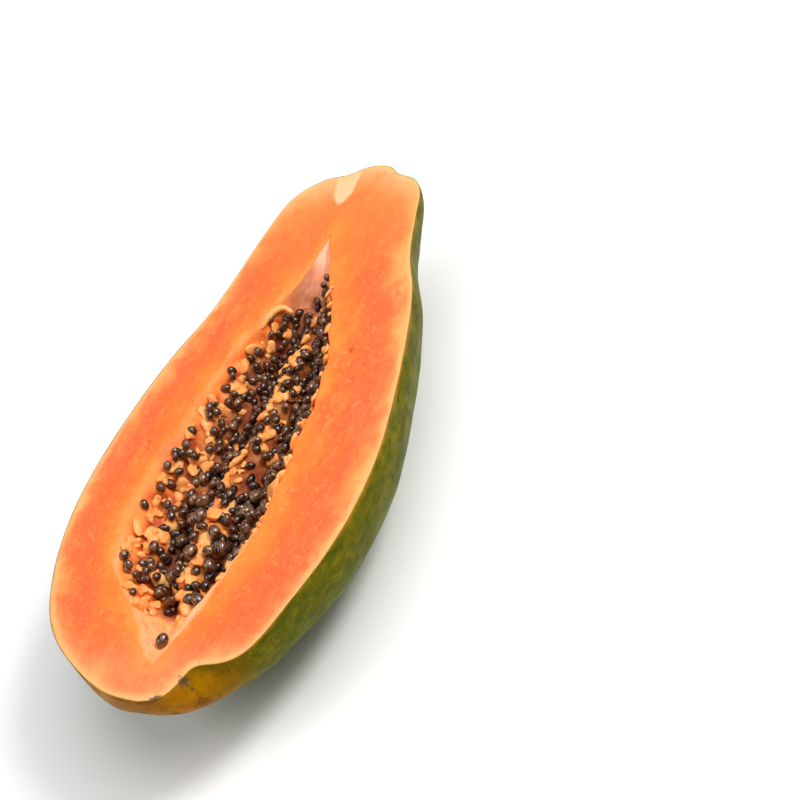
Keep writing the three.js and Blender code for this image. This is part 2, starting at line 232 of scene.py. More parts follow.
# How likely a small seed has a coat of jelly, and how light seeds are: those that show are painted lighter,
# as lit, and those low down darker, as painted shade; each tone also varies at random.
COATED_CHANCE = 0.3
LIT_SHOWN_TONE, LIT_SHOWN_TONE_MORE, LIT_SHOWN_SIDES = 0.4, 0.6, 0.65
SHADED_LOW_TONE, SHADED_LOW_TONE_MORE, SHADED_LOW_TONE_ENDS = 0.25, 0.45, (-25, 15)

# Shares of the sites that hold a seed or a knob. A rule gives its share, its place across, and in y where
# it begins and where it is full.
SEEDS_ANYWHERE, SEEDS_MORE, SEEDS_MORE_ENDS, SEEDS_IN_GULLY = 0.26, 0.24, (-25, 15), 0.8
SEEDS_RIGHT_WALL = (0.5, (0.5, 0.75), (-60, -20))
SEEDS_LOW_MIDDLE = (0.5, (0.2, 0.5), (-20, -45))
SEEDS_BARE_LOW_RIGHT = (0.85, (0.0, 0.4), (-46, -70))
KNOBS_LOW_RIGHT = (0.6, (0.45, 0.35), (-52, -72))
# The bed fades in and out over these lengths. It ends later in the middle and earlier on the left.
SEEDS_FADE_IN, SEEDS_FADE_OUT = 22, 7
LAST_VARIES, LAST_LATER, LAST_EARLIER = 6, (0.1, 0.4), (0.3, -0.5)
KNOBS_EARLIER, KNOBS_FADE_IN, KNOBS_FADE_OUT = 2, 6, 14

# Camera, fitted to the picture: VIEW_DISTANCE metres from the middle of the cut face, along VIEW_BACK, and
# turned a little to the right and up.
VIEW_BACK = Vector((0.58779, -0.50913, 0.62872))
VIEW_UP = Vector((0.02758, 0.78930, 0.61338))
VIEW_DISTANCE = 1.1
LENS, SENSOR_WIDTH = 125.05, 36
PAN_RIGHT, PAN_UP = 0.05276, 0.00516

# Half the width of the floor in metres, the strength of the light all round, and the lights: name, place and
# width in metres, and power in watts.
FLOOR_REACH = 6
WORLD_STRENGTH = 0.2
LIGHTS = [
    ("key", (0.75, 0.3, 1.55), 2.2, 27), ("glint", (1.1, 0.45, 1.3), 0.5, 16),
    ("fill", (-1.0, -0.9, 1.5), 1.4, 12),
]


def srgb(red, green, blue):
    """A colour given in the 0 to 255 values of a screen, as the linear light that shaders use."""
    values = []
    for part in (red, green, blue):
        share = part / 255
        values.append(share / 12.92 if share <= 0.04045 else ((share + 0.055) / 1.055) ** 2.4)
    return (*values, 1)


def smooth(low, high, value):
    """Rises gently from 0 at low to 1 at high."""
    share = np.clip((np.asarray(value, float) - low) / (high - low), 0, 1)
    return share * share * (3 - 2 * share)


def bell(value, centre, span):
    return np.exp(-(((np.asarray(value, float) - centre) / span) ** 2))


def spline(points, share):
    """Places at shares from 0 to 1 along a smooth curve through the points, each point an equal step."""
    points = np.array(points, float)
    last = len(points) - 1
    place = np.clip(np.asarray(share, float), 0, 1) * last
    step = np.minimum(place.astype(int), last - 1)
    rest = (place - step)[..., None]
    before = points[np.maximum(step - 1, 0)]
    start = points[step]
    end = points[step + 1]
    after = points[np.minimum(step + 2, last)]
    slope_in = (end - before) / 2
    slope_out = (after - start) / 2
    cubic = 2 * start - 2 * end + slope_in + slope_out
    square = 3 * end - 3 * start - 2 * slope_in - slope_out
    return ((cubic * rest + square) * rest + slope_in) * rest + start


def back_depth(y):
    """Depth of the back below the cut face, at y on the spine."""
    places = [point[0] for point in BACK_DEPTH]
    share = np.interp(y, places, np.linspace(0, 1, len(places)))
    return spline(BACK_DEPTH, share)[..., 1]


def end_bump(along, centre, span):
    """A bump along the rim that is zero at both ends of it."""
    return bell(along, centre, span) - (1 - along) * bell(0, centre, span)


def skin_points(along, angle):
    """Places on the skin: angle runs from 0 at the right rim, under the back, to half a turn at the left."""
    right = spline(RIM_RIGHT, along)
    left = spline(RIM_LEFT, along)
    middle = (right + left) / 2
    spine = middle * [SPINE_DRIFT, SPINE_REACH]
    on_right = (np.cos(angle) >= 0)[..., None]
    out = np.where(on_right, right, left) - spine
    ridge = 1 + RIDGE_RELIEF * np.cos(RIDGES_AROUND * (angle - math.pi / 2)) * np.sin(angle) ** 2
    depth = back_depth(spine[..., 1]) * np.sin(angle) * ridge
    on_right = on_right[..., 0]
    stub_span = np.where(on_right, STUB_SPAN_RIGHT, STUB_SPAN_LEFT)
    stub = STUB * np.exp(-(((1 - along) / stub_span) ** STUB_STEEPNESS))
    edge = stub - np.where(on_right, NOTCH * end_bump(along, NOTCH_AT, NOTCH_SPAN), 0)
    lobe = np.where(on_right, 0, LOBE * end_bump(along, LOBE_AT, LOBE_SPAN))
    swell = SWELL * (1 - along) + lobe
    relief = swell * np.abs(np.sin(2 * angle)) + edge * bell(depth, 0, EDGE_DEPTH)
    reach = np.abs(np.cos(angle)) * ridge + relief / np.linalg.norm(out, axis=-1)
    flat = spine + out * reach[..., None]
    return np.concatenate([flat, -np.minimum(depth, REST_DEPTH)[..., None]], axis=-1)


def edge_waves(along, y, phase):
    """Small waves of the edge of the hollow, none at its two tips."""
    waves = 0
    for height, length, turn in EDGE_WAVES:
        waves = waves + height * np.sin(2 * math.pi * y / length + turn * phase)
    return waves * np.minimum(1, EDGE_WAVES_RISE * along * (1 - along))


def hollow_edges(along):
    """Right and left edge of the hollow, in the plane of the cut face."""
    right = spline(HOLLOW_RIGHT, along)
    left = spline(HOLLOW_LEFT, along)
    right[..., 0] += edge_waves(along, right[..., 1], RIGHT_PHASE)
    left[..., 0] += edge_waves(along, left[..., 1], LEFT_PHASE)
    return right, left


def gully(across):
    """Nearness to the bottom of one of the two gullies beside the ridge, from 0 to 1."""
    left = bell(across, LEFT_GULLY, LEFT_GULLY_SPAN)
    return np.maximum(left, bell(across, RIGHT_GULLY, RIGHT_GULLY_SPAN))


def hollow_points(along, across):
    """Places on the wall of the hollow: across runs from -1 at its left edge to 1 at its right edge."""
    right, left = hollow_edges(along)
    share = (np.asarray(across, float) + 1) / 2
    flat = left + (right - left) * share[..., None]
    width = np.linalg.norm(right - left, axis=-1)
    shallow = 1 - TIP_RISE * bell(flat[..., 1], TIP_AT, TIP_SPAN)
    depth = HOLLOW_DEPTH * shallow * (1 - np.exp(-width / HOLLOW_NARROW))
    wall = 1 - np.abs(across) ** WALL_POWER
    relief = PULP_RIDGE * bell(across, PULP_RIDGE_AT, PULP_RIDGE_SPAN) - GULLY_CUT * gully(across)
    relief = relief * wall * np.minimum(1, width / PULP_RIDGE_WIDTH) ** 2
    room = np.minimum(1, width / HOLLOW_NARROW)
    left_lip = LEFT_LIP * smooth(*LEFT_LIP_ENDS, left[..., 1])
    lip = HOLLOW_LIP + room * (left_lip * (1 - share) + RIGHT_LIP * share)
    height = relief - depth * wall - lip
    return np.concatenate([flat, height[..., None]], axis=-1)


def noise_at(points, size, offset=0.0):
    """Smooth noise from about -1 to 1, with lumps of the given size. Each offset gives another pattern."""
    places = np.asarray(points, float).reshape(-1, 3) / size + offset
    values = [noise.noise(Vector(place)) for place in places]
    return np.array(values).reshape(np.shape(points)[:-1])


class Sheets:
    """Collects grids of points into one closed mesh. Values on its points are 0 where none are given."""

    def __init__(self):
        self.points = []
        self.faces = []
        self.materials = []
        self.values = []
        self.count = 0

    def add(self, grid, material, flip, **values):
        rows, columns = grid.shape[:2]
        index = self.count + np.arange(rows * columns).reshape(rows, columns)
        corners = [index[:-1, :-1], index[1:, :-1], index[1:, 1:], index[:-1, 1:]]
        if flip:
            corners.reverse()
        faces = np.stack(corners, axis=-1).reshape(-1, 4)
        self.points.append(grid.reshape(-1, 3))
        self.faces.append(faces)
        self.materials.append(np.full(len(faces), material))
        full = {name: np.broadcast_to(values.get(name, 0.0), (rows, columns)) for name in POINT_VALUES}
        self.values.append({name: value.ravel() for name, value in full.items()})
        self.count += rows * columns

    def welded(self):
        """Points, faces, face materials and point values, with points at the same place made one."""
        points = np.concatenate(self.points)
        keys = np.round(points / WELD).astype(np.int64)
        _, first, inverse = np.unique(keys, axis=0, return_index=True, return_inverse=True)
        inverse = inverse.ravel()
        faces = []
        materials = []
        all_faces = inverse[np.concatenate(self.faces)].tolist()
        for face, material in zip(all_faces, np.concatenate(self.materials)):
            corners = list(dict.fromkeys(face))
            if len(corners) > 2:
                faces.append(corners)
                materials.append(material)
        values = {}
        for name in POINT_VALUES:
            values[name] = np.concatenate([part[name] for part in self.values])[first]
        return points[first], faces, materials, values


along = np.linspace(0, 1, STATIONS + 1)[:, None]
turn = np.linspace(0, 1, SKIN_STEPS + 1)[None, :]
angle = math.pi * (turn - RIM_CROWDING * np.sin(2 * math.pi * turn))
along_skin, angle_skin = np.broadcast_arrays(along, angle)
skin_grid = skin_points(along_skin, angle_skin)

# The cut frame goes into the frame of the model: same middle across and along, cut face at the top.
skin_low = skin_grid.reshape(-1, 3).min(axis=0)
skin_high = skin_grid.reshape(-1, 3).max(axis=0)
shift = np.array((cad_low + cad_high) / 2) / MM - (skin_low + skin_high) / 2
shift[2] = cad_high.z / MM


def to_frame(points):
    return (np.asarray(points) + shift) * MM


def along_heading(offsets, degrees):
    """How far each offset on the cut face goes along a heading, and how far to the left of it."""
    ahead = (math.cos(math.radians(degrees)), math.sin(math.radians(degrees)))
    return offsets @ ahead, offsets @ (-ahead[1], ahead[0])


def cream_wedge(points):
    """1 inside the pale wedge that runs from the stem end into the flesh."""
    forward, aside = along_heading(points[..., :2] - CREAM_POINT, CREAM_HEADING)
    forward = np.maximum(0, forward)
    aside = np.abs(aside) + CREAM_RAGGED * noise_at(points, CREAM_RAGGED_SIZE)
    half_width = CREAM_HALF_WIDTH * (1 - np.exp(-forward / CREAM_BLUNT))
    inside = 1 - smooth(CREAM_INNER_BLUR, CREAM_OUTER_BLUR, aside - half_width)
    return inside * smooth(0, CREAM_START_BLUR, forward)


def ring_shares(length):
    """Shares of the way from rim to hollow at which the cut face has its rings, for each station."""
    outer = np.array(RINGS_AT_RIM) / length
    inner = 1 - np.array(RINGS_AT_HOLLOW) / length
    between = np.linspace(0, 1, RINGS_BETWEEN + 2)[None, 1:-1]
    middle = outer[:, -1:] + (inner[:, :1] - outer[:, -1:]) * between
    return np.concatenate([outer, middle, inner], axis=1)


def cut_face(rim, edge):
    """Grid from the rim to the edge of the hollow, with the distance from each in millimetres."""
    length = np.linalg.norm(edge - rim, axis=-1)[:, None]
    shares = ring_shares(length)
    grid = rim[:, None] + (edge - rim)[:, None] * shares[..., None]
    from_rim = shares * length
    from_hollow = (1 - shares) * length
    lip = -edge[:, None, 2]
    lip_width = LIP_WIDTH + LIP_SPREAD * (lip - HOLLOW_LIP)
    grid[..., 2] = -lip * np.maximum(0, 1 - from_hollow / lip_width) ** 2
    return grid, shares, from_rim, from_hollow


def arc_lengths(grid):
    """Length along each row of the grid, from its first point."""
    steps = np.linalg.norm(np.diff(grid, axis=1), axis=-1)
    return np.concatenate([np.zeros((len(grid), 1)), np.cumsum(steps, axis=1)], axis=1)


def nearest_end(lengths):
    return np.minimum(lengths, lengths[:, -1:] - lengths)


def pale_lip(y, from_hollow, on_left):
    """Share of the pale colour along the lip of the hollow, on the cut face."""
    if on_left:
        width = LEFT_PALE_WIDTH
        share = LEFT_PALE_SHARE
    else:
        width = RIGHT_PALE_WIDTH + RIGHT_PALE_MORE * bell(y, RIGHT_PALE_AT, RIGHT_PALE_SPAN)
        share = RIGHT_PALE_SHARE
    lip = smooth(*PALE_LIP, y) * (1 - smooth(0.5 * width, width, from_hollow))
    return share * lip


def add_cut_faces(sheets, hollow_grid):
    for rim, edge, on_left in (
        (skin_grid[:, 0], hollow_grid[:, -1], False),
        (skin_grid[:, -1], hollow_grid[:, 0], True),
    ):
        grid, shares, from_rim, from_hollow = cut_face(rim, edge)
        y = grid[..., 1]
        stem = STEM_PALE_SHARE * smooth(*STEM_PALE, y) * (1 - smooth(*STEM_PALE_REACH, from_rim))
        blossom = BLOSSOM_PALE_SHARE * smooth(*BLOSSOM_PALE, y)
        sheets.add(
            grid, FLESH, on_left, rim=from_rim, hollow=from_hollow, ripe=shares,
            pale=np.maximum(stem, blossom), cream=cream_wedge(grid), lip=pale_lip(y, from_hollow, on_left),
        )


def half_sheets():
    sheets = Sheets()
    from_rim = nearest_end(arc_lengths(skin_grid))
    sheets.add(skin_grid, SKIN, True, rim=-from_rim, hollow=FAR, angle=angle_skin)
    along_hollow, across = np.broadcast_arrays(along, np.linspace(-1, 1, HOLLOW_STEPS + 1)[None, :])
    hollow_grid = hollow_points(along_hollow, across)
    add_cut_faces(sheets, hollow_grid)
    inward = nearest_end(arc_lengths(hollow_grid))
    y = hollow_grid[..., 1]
    lip = INNER_LIP_SHARE * smooth(*INNER_LIP, y) * (1 - smooth(*INNER_LIP_REACH, inward))
    pale = INNER_TIP_SHARE * smooth(*INNER_TIP, y)
    # Painted shade: the floor and gullies of the hollow get a share of near-black colour, fading out at both
    # ends of the bed.
    painted_floor_shade = PAINTED_FLOOR_SHADE * (1 - smooth(*PAINTED_FLOOR_SHADE_SIDES, np.abs(across)))
    painted_shade = np.maximum(gully(across), painted_floor_shade * smooth(*PAINTED_FLOOR_SHADE_FROM, y))
    painted_shade = painted_shade * smooth(BED_FIRST, BED_FIRST + PAINTED_SHADE_FADE_FIRST, y)
    painted_shade = painted_shade * smooth(BED_LAST, BED_LAST - PAINTED_SHADE_FADE_LAST, y)
    sheets.add(
        hollow_grid, FLESH, True, rim=FAR, hollow=-inward, ripe=1, pale=pale, lip=lip, gully=painted_shade,
        membrane=smooth(*FILM, y) * smooth(*FILM_EDGE, inward),
    )
    return sheets


def knife_marks(points):
    """Height of the nicks and flakes on the cut face."""
    height = np.zeros(len(points))
    for x, y, width, depth in NICKS:
        away = np.hypot(points[:, 0] - x, (points[:, 1] - y) * NICK_LONGER)
        height -= depth * np.exp(-((away / width) ** 2) * NICK_STEEPNESS)
    for x, y, heading, length, width, rise in FLAKES:
        forward, aside = along_heading(points[:, :2] - (x, y), heading)
        slope = smooth(-1, FLAKE_CREST, aside / width) * (1 - smooth(FLAKE_CREST, 1, aside / width))
        height += rise * slope * np.exp(-((forward / length) ** 2) * FLAKE_FADE)
    return height


def scar_share(points):
    """1 inside the brown scars, 0 away from them."""
    share = np.zeros(len(points))
    ragged = 1 + SCAR_RAGGED * noise_at(points, SCAR_RAGGED_SIZE, 4.4)
    for x, y, z, width in SCARS:
        away = np.linalg.norm(points - (x, y, z), axis=1) * ragged
        share = np.maximum(share, 1 - smooth(SCAR_INSIDE * width, SCAR_OUTSIDE * width, away))
    return share


def lumps_of(kind, points, offset=0.0):
    height, size = kind
    return height * noise_at(points, size, offset)


def surface_relief(points, values):
    """How far each point moves along its normal, in millimetres."""
    y = points[:, 1]
    rim = values["rim"]
    hollow = values["hollow"]
    around = values["angle"]
    valley = np.maximum(0, -np.cos(RIDGES_AROUND * (around - math.pi / 2))) ** 3 * np.sin(around) ** 2
    groove = GROOVE * smooth(GROOVE_FROM, GROOVE_TO, y) * valley
    skin = lumps_of(SKIN_SWELLS, points) + lumps_of(SKIN_LUMPS, points, 3.3) - groove
    lining = LINING_CRUMB[0] * values["crumb"] + lumps_of(LINING_LUMPS, points, 1.7)
    face = lumps_of(FACE_SWELLS, points, 5.2) + lumps_of(FACE_GRAIN, points, 9.4) + knife_marks(points)
    on_face = smooth(*FACE_RIM_FADE, rim) * smooth(*FACE_HOLLOW_FADE, hollow)
    bare = 1 - BARE_SHARE * np.maximum(smooth(*STEM_TIP_BARE, y), smooth(*BLOSSOM_TIP_BARE, y))
    return (
        smooth(*SKIN_FADE, -rim) * skin + smooth(*LINING_FADE, -hollow) * bare * lining + on_face * face
        - SCAR_SUNK * values["scar"] * (rim <= SKIN_FADE[0])
    )


def set_point_values(mesh, values):
    for name, value in values.items():
        layer = mesh.attributes.new(name, "FLOAT", "POINT")
        layer.data.foreach_set("value", np.ascontiguousarray(value, dtype=np.float32))


def whole_numbers(items, name):
    numbers = np.zeros(len(items), dtype=np.int32)
    items.foreach_get(name, numbers)
    return numbers


def sharpen_between_materials(mesh):
    """Keeps the edge where two materials meet sharp, as a knife leaves it."""
    edge_of_loop = whole_numbers(mesh.loops, "edge_index")
    sizes = whole_numbers(mesh.polygons, "loop_total")
    of_loop = np.repeat(whole_numbers(mesh.polygons, "material_index"), sizes)
    lowest = np.full(len(mesh.edges), FLESH)
    highest = np.full(len(mesh.edges), SKIN)
    np.minimum.at(lowest, edge_of_loop, of_loop)
    np.maximum.at(highest, edge_of_loop, of_loop)
    mesh.edges.foreach_set("use_edge_sharp", lowest != highest)


def new_object(name, data):
    made = bpy.data.objects.new(name, data)
    bpy.context.scene.collection.objects.link(made)
    return made


def new_piece(name, mesh, materials):
    for material in materials:
        mesh.materials.append(material)
    mesh.polygons.foreach_set("use_smooth", np.ones(len(mesh.polygons), dtype=bool))
    return new_object(name, mesh)


def soften_back(piece, rim):
    """Evens out the crease where the sides meet under the two ends of the back."""
    group = piece.vertex_groups.new(name="back")
    weights = smooth(*SOFT_FROM_RIM, -rim)
    for level in range(1, SOFT_LEVELS + 1):
        chosen = np.nonzero(np.round(weights * SOFT_LEVELS) == level)[0].tolist()
        group.add(chosen, level / SOFT_LEVELS, "REPLACE")
    softener = piece.modifiers.new("soften back", "SMOOTH")
    softener.vertex_group = "back"
    softener.factor = 0.5
    softener.iterations = SOFT_ROUNDS


def make_half(materials):
    points, faces, face_materials, values = half_sheets().welded()
    mesh = bpy.data.meshes.new("papaya_half")
    mesh.from_pydata(to_frame(points).tolist(), [], faces)
    values["crumb"] = noise_at(points, LINING_CRUMB[1], 7.1)
    values["scar"] = scar_share(points)
    values["nick"] = smooth(*NICK_WET, np.abs(knife_marks(points)))
    values["blossom"] = smooth(*BLOSSOM_END, points[:, 1])
    values["stem"] = smooth(*STEM_END, points[:, 1])
    normals = np.zeros(len(points) * 3, dtype=np.float32)
    mesh.vertices.foreach_get("normal", normals)
    moved = points + normals.reshape(-1, 3) * surface_relief(points, values)[:, None]
    mesh.vertices.foreach_set("co", to_frame(moved).ravel().astype(np.float32))
    set_point_values(mesh, values)
    piece = new_piece("papaya_half", mesh, materials)
    mesh.polygons.foreach_set("material_index", np.array(face_materials, dtype=np.int32))
    sharpen_between_materials(mesh)
    mesh.update()
    soften_back(piece, values["rim"])
    return piece


class Painter:
    """Builds one material from shader nodes."""

    def __init__(self, name):
        self.material = bpy.data.materials.new(name)
        self.material.use_nodes = True
        self.tree = self.material.node_tree
        self.surface = self.tree.nodes["Principled BSDF"]
        self.place = self.add("ShaderNodeTexCoord").outputs["Object"]

    def add(self, kind, inputs=None, **settings):
        """Makes a node, with its inputs given by name or number."""
        node = self.tree.nodes.new(kind)
        for name, value in settings.items():
            setattr(node, name, value)
        for name, value in (inputs or {}).items():
            self.feed(node.inputs[name], value)
        return node

    def feed(self, socket, value):
        """Links a value that comes from a node, or sets one that is a plain number or colour."""
        if isinstance(value, bpy.types.NodeSocket):
            self.tree.links.new(value, socket)
        else:
            socket.default_value = value

    def finish(self, **values):
        for name, value in values.items():
            self.feed(self.surface.inputs[name.replace("_", " ")], value)
        return self.material

    def value(self, name):
        """A value that the points of the mesh carry."""
        return self.add("ShaderNodeAttribute", attribute_name=name).outputs["Fac"]

    def pattern(self, kind, size, stretch, **inputs):
        """A pattern whose lumps have the given size in millimetres, or are stretched from it."""
        place = self.place
        if stretch:
            place = self.add("ShaderNodeMapping", {"Vector": place, "Scale": stretch}).outputs["Vector"]
        return self.add(kind, {"Vector": place, "Scale": 1 / (size * MM), **inputs})

    def noise(self, size, detail=3.0, roughness=0.5, stretch=None, distortion=0.0):
        """Cloudy noise from 0 to 1."""
        node = self.pattern(
            "ShaderNodeTexNoise", size, stretch, Detail=detail, Roughness=roughness, Distortion=distortion,
        )
        return node.outputs["Fac"]

    def cells(self, size, stretch=None):
        """Distance from the nearest of scattered points, about size millimetres apart."""
        return self.pattern("ShaderNodeTexVoronoi", size, stretch).outputs["Distance"]

    def ramp(self, value, stops):
        node = self.add("ShaderNodeValToRGB", {"Fac": value})
        elements = node.color_ramp.elements
        while len(elements) < len(stops):
            elements.new(1.0)
        for element, (position, colour) in zip(elements, stops):
            element.position = position
            element.color = colour
        return node.outputs["Color"]

    def span(self, value, low, high, bottom=0.0, top=1.0):
        """Maps a value that runs from low to high onto bottom to top, gently at both ends."""
        inputs = {"Value": value, "From Min": low, "From Max": high, "To Min": bottom, "To Max": top}
        node = self.add("ShaderNodeMapRange", inputs, interpolation_type="SMOOTHSTEP")
        return node.outputs["Result"]

    def math(self, operation, first, second):
        return self.add("ShaderNodeMath", {0: first, 1: second}, operation=operation).outputs["Value"]

    def mix(self, share, first, second):
        inputs = {"Factor": share, MIX_FIRST: first, MIX_SECOND: second}
        return self.add("ShaderNodeMix", inputs, data_type="RGBA").outputs[MIX_RESULT]

    def bump(self, height, depth, before=None):
        """Fine relief of the given depth in millimetres, on top of what comes before it."""
        inputs = {"Height": height, "Distance": depth * MM}
        if before is not None:
            inputs["Normal"] = before
        return self.add("ShaderNodeBump", inputs).outputs["Normal"]


def ripe_colour(paint):
    """Colour across the cut flesh: pale by the skin, red in the middle and yellow by the hollow."""
    wander = paint.span(paint.noise(15, 4, 0.55, distortion=0.4), 0.2, 0.8, -0.17, 0.17)
    ripe = paint.math("ADD", paint.value("ripe"), wander)
    colour = paint.ramp(ripe, [
        (0.00, srgb(248, 166, 94)), (0.10, srgb(252, 142, 78)), (0.22, srgb(250, 118, 64)),
        (0.38, srgb(249, 103, 57)), (0.54, srgb(251, 107, 52)), (0.70, srgb(252, 114, 49)),
        (0.88, srgb(254, 127, 50)), (1.00, srgb(254, 138, 57)),
    ])
    redder = paint.span(paint.noise(21, 4, 0.55, stretch=(1.3, 0.7, 1)), 0.5, 0.72, 0, 0.45)
    colour = paint.mix(redder, colour, srgb(249, 92, 58))
    yellower = paint.span(paint.noise(11, 4, 0.6, stretch=(1.5, 0.5, 1), distortion=0.5), 0.5, 0.75, 0, 0.45)
    colour = paint.mix(yellower, colour, srgb(255, 142, 62))
    # Painted highlight: fine pale flecks stand in for wet glints on the crinkled flesh.
    painted_glint_fleck = paint.span(paint.noise(1.7, 4, 0.65, stretch=(1, 0.7, 1)), 0.5, 0.72, 0, 0.4)
    colour = paint.mix(painted_glint_fleck, colour, srgb(255, 166, 100))
    towards_stem = paint.math("MULTIPLY", paint.value("stem"), 0.5)
    return paint.mix(towards_stem, colour, srgb(254, 140, 66))


def lining_colour(paint):
    """Colour of the wall of the hollow: yellow on its crumbs, deep orange between them, painted shade in its
    deep parts.
    """
    wander = paint.span(paint.noise(2.4, 3), 0.2, 0.8, -0.3, 0.3)
    crumb = paint.math("ADD", paint.value("crumb"), wander)
    crumb = paint.span(crumb, -0.7, 0.7)
    colour = paint.ramp(crumb, [
        (0.1, srgb(188, 74, 18)), (0.4, srgb(222, 102, 32)), (0.7, srgb(242, 130, 52)),
        (1.0, srgb(252, 158, 78)),
    ])
    # Painted shade: near-black colour mixed in on the floor and in the gullies, where shade falls.
    painted_shade = paint.math("MULTIPLY", paint.value("gully"), 0.95)
    return paint.mix(painted_shade, colour, srgb(38, 10, 1))


def film_colour(paint):
    """Colour of the thin film in the stem tip of the hollow: tan, and whitish towards the tip."""
    veins = paint.span(paint.noise(2.2, 4, 0.6, stretch=(1.6, 0.5, 1)), 0.35, 0.7)
    tan = paint.mix(veins, srgb(234, 160, 122), srgb(212, 130, 94))
    return paint.mix(paint.span(paint.value("stem"), 0.15, 0.4), tan, srgb(255, 208, 174))


def rim_colour(paint, colour):
    """Lays a pale band, the yellow peel and a green line over the flesh, from the inside out to the rim."""
    rim = paint.value("rim")
    edge = paint.math("ADD", rim, paint.span(paint.noise(9, 3), 0.3, 0.7, -0.6, 0.9))
    colour = paint.mix(paint.span(edge, 4.4, 1.0, 0, 0.65), colour, srgb(250, 182, 124))
    peel = paint.mix(paint.value("stem"), srgb(214, 160, 62), srgb(216, 196, 92))
    colour = paint.mix(paint.span(edge, 1.0, 0.4, 0, 0.7), colour, peel)
    return paint.mix(paint.span(rim, 0.55, 0.2, 0, 0.9), colour, srgb(116, 104, 8))


def flesh_material():
    paint = Painter("ripe_flesh")
    inside = paint.span(paint.value("hollow"), -0.6, -5)
    colour = paint.mix(inside, ripe_colour(paint), lining_colour(paint))
    colour = paint.mix(paint.value("membrane"), colour, film_colour(paint))
    mottle = paint.span(paint.noise(5, 4), 0.3, 0.62, 0.55, 0.95)
    pale = paint.math("MULTIPLY", paint.value("pale"), mottle)
    colour = paint.mix(pale, colour, srgb(253, 184, 128))
    lip = paint.math("MULTIPLY", paint.value("lip"), mottle)
    colour = paint.mix(lip, colour, srgb(255, 196, 150))
    colour = paint.mix(paint.value("cream"), colour, srgb(250, 192, 144))
    colour = rim_colour(paint, colour)
    colour = paint.mix(paint.value("scar"), colour, srgb(112, 80, 50))
    wet = paint.span(paint.noise(6, 4, 0.6), 0.3, 0.7, 0.34, 0.55)
    wet = paint.math("MAXIMUM", wet, paint.span(paint.value("hollow"), 4, 0.5, 0, 0.64))
    wet = paint.math("SUBTRACT", wet, paint.math("MULTIPLY", paint.value("nick"), 0.24))
    grain = paint.bump(paint.noise(1.1, 3, 0.6), 0.14)
    grain = paint.bump(paint.noise(4.5, 3, 0.55, stretch=(1, 0.45, 1)), 0.3, grain)
    grain = paint.bump(paint.span(paint.cells(8), 0.05, 0.15), 0.3, grain)
    return paint.finish(
        Base_Color=colour, Roughness=wet, Normal=grain, Subsurface_Weight=0.3,
        Subsurface_Radius=(1.0, 0.34, 0.14), Subsurface_Scale=3 * MM, Specular_IOR_Level=0.3,
        Coat_Weight=0.02, Coat_Roughness=0.1,
    )


def green_colour(paint):
    """Skin away from the cut: dull light green with patches of deep clear green."""
    cloud = paint.noise(26, 5, 0.6, stretch=(1, 0.6, 1), distortion=0.5)
    dull = paint.ramp(cloud, [
        (0.30, srgb(60, 70, 0)), (0.46, srgb(82, 90, 1)), (0.60, srgb(104, 109, 8)),
        (0.74, srgb(132, 134, 34)),
    ])
    patch = paint.span(paint.noise(30, 4, 0.55, stretch=(1, 0.7, 1), distortion=1.2), 0.5, 0.57, 0, 0.85)
    colour = paint.mix(patch, dull, srgb(60, 72, 2))
    streak = paint.span(paint.noise(5, 4, 0.6, stretch=(1.8, 0.5, 1.8)), 0.4, 0.7, 0, 0.55)
    colour = paint.mix(streak, colour, srgb(122, 126, 8))
    fine = paint.span(paint.noise(2.4, 4, 0.65), 0.38, 0.7, 0, 0.45)
    return paint.mix(fine, colour, srgb(60, 68, 0))


def skin_marks(paint, colour):
    """Lays dark specks, scratches, brown stains by the blossom end and scars over the skin."""
    speck = paint.span(paint.cells(2.6), 0.17, 0.1, 0, 0.8)
    speck = paint.math("MULTIPLY", speck, paint.span(paint.noise(12, 2), 0.45, 0.6))
    colour = paint.mix(speck, colour, srgb(40, 40, 6))
    scratch = paint.span(paint.cells(9, stretch=(5, 0.8, 3)), 0.1, 0.05, 0, 0.5)
    colour = paint.mix(scratch, colour, srgb(46, 50, 10))
    stain = paint.span(paint.noise(8, 5, 0.65, distortion=0.6), 0.5, 0.62, 0, 0.8)
    colour = paint.mix(paint.math("MULTIPLY", paint.value("blossom"), stain), colour, srgb(112, 68, 8))
    return paint.mix(paint.value("scar"), colour, srgb(92, 66, 46))


def skin_material():
    paint = Painter("green_skin")
    rim = paint.value("rim")
    yellow = paint.noise(18, 4, 0.6, distortion=0.5)
    colour = green_colour(paint)
    olive = paint.math("ADD", rim, paint.span(yellow, 0.3, 0.7, -12, 12))
    mottled = paint.ramp(paint.noise(5, 5, 0.65, stretch=(1, 0.6, 1), distortion=0.6), [
        (0.36, srgb(64, 67, 0)), (0.50, srgb(89, 84, 0)), (0.64, srgb(112, 104, 3)),
    ])
    colour = paint.mix(paint.span(olive, -30, -8, 0, 0.85), colour, mottled)
    strip = paint.math("ADD", rim, paint.span(yellow, 0.3, 0.7, -1.2, 0.6))
    strip = paint.span(strip, -1.8, 0.2, 0, 0.7)
    blossom = paint.math("MULTIPLY", paint.value("blossom"), paint.span(yellow, 0.2, 0.5, 0.6, 1))
    amber = paint.ramp(paint.noise(9, 4, 0.6), [(0.3, srgb(138, 86, 0)), (0.7, srgb(180, 116, 10))])
    colour = paint.mix(paint.math("MAXIMUM", strip, blossom), colour, amber)
    colour = skin_marks(paint, colour)
    gloss = paint.span(paint.noise(8, 4), 0.3, 0.7, 0.34, 0.52)
    relief = paint.bump(paint.noise(1.6, 4, 0.6), 0.14)
    relief = paint.bump(paint.cells(2.6), 0.08, relief)
    return paint.finish(
        Base_Color=colour, Roughness=gloss, Normal=relief, Specular_IOR_Level=0.03,
        Subsurface_Weight=0.05, Subsurface_Radius=(0.6, 0.5, 0.1), Subsurface_Scale=1.5 * MM,
    )


